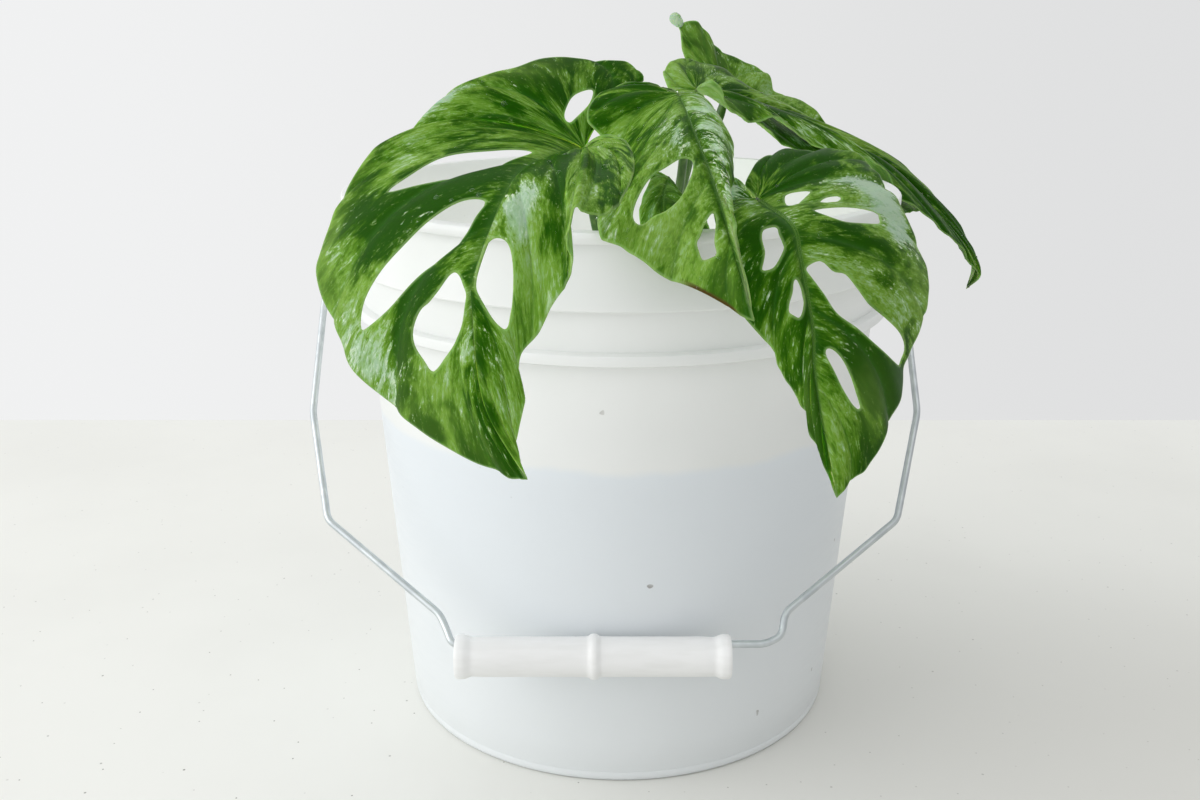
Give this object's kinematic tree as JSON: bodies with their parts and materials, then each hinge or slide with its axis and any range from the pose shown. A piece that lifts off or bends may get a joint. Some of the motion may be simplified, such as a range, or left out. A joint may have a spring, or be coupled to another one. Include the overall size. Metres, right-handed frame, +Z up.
{
  "type": "potted mint monstera adansonii",
  "caption": "Open plastic pail with a swinging wire bail and tube grip, holding a perforated-leaf climbing plant rooted in bark potting mix.",
  "frame": {"origin": "centre of the pail's flat bottom, on the surface it stands on", "axes": "+Z up along the pail's axis; X through the bail's two pivots; the viewer stands towards -Y, where the bail hangs"},
  "size_m": [0.2607, 0.2275, 0.2573],
  "materials": {
    "pail_plastic": "slightly translucent natural white polyethylene, satin",
    "wire": "galvanised drawn wire",
    "grip_plastic": "moulded white polyethylene, soft gloss",
    "potting_mix": "damp bark chips and coir",
    "stem": "green stem, smooth, with paler nodes",
    "petiole": "smooth green leaf stalk",
    "leaf": "mid and dark green with mint and cream marbling, satin, wet in places",
    "leaf_pale": "green with broad mint white sectors, satin, one dry brown edge"
  },
  "bodies": {
    "root": {"pail": "pail_plastic", "potting_mix": "potting_mix", "vine_stem": "stem", "blade_left": "leaf", "petiole_left": "petiole", "blade_right": "leaf", "petiole_right": "petiole", "blade_front": "leaf_pale", "petiole_front": "petiole", "blade_upper": "leaf", "petiole_upper": "petiole", "blade_back": "leaf", "petiole_back": "petiole", "blade_inner": "leaf", "petiole_inner": "petiole"},
    "bail": {"bail_wire": "wire"},
    "grip": {"grip": "grip_plastic"}
  },
  "joints": [
    {"name": "bail_swing", "type": "hinge", "parent": "root", "child": "bail", "pos_m": [0, 0, 0.165], "axis": [-1, 0, 0], "range_deg": [0, 137.8]},
    {"name": "grip_spin", "type": "hinge", "parent": "bail", "child": "grip", "pos_m": [-0.0098, -0.0957, 0.0568], "axis": [1, 0, 0], "continuous": true}
  ]
}
